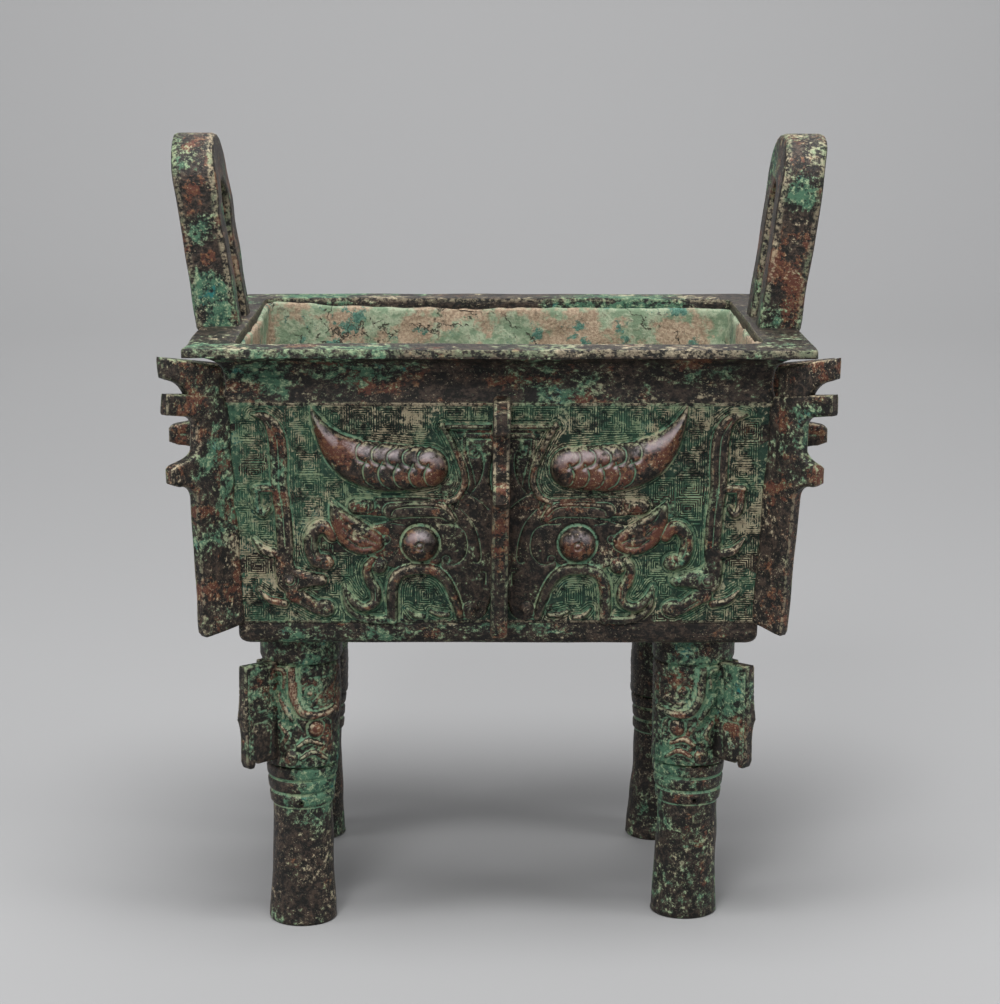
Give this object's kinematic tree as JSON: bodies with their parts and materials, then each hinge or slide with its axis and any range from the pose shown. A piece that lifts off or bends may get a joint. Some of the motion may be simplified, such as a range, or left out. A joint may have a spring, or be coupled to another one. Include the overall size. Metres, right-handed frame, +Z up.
{
  "type": "square bronze ding",
  "caption": "Cast bronze square ding: hollow rectangular cauldron with loop handles, hooked flanges, mask relief and four columnar legs.",
  "frame": {"origin": "on the ground under the middle of the vessel", "axes": "+Z up, X along the long sides, -Y towards the front long side"},
  "size_m": [0.2362, 0.1922, 0.266],
  "materials": {
    "bronze": "corroded bronze with green and red patina"
  },
  "bodies": {
    "root": {"ding": "bronze"}
  },
  "joints": []
}
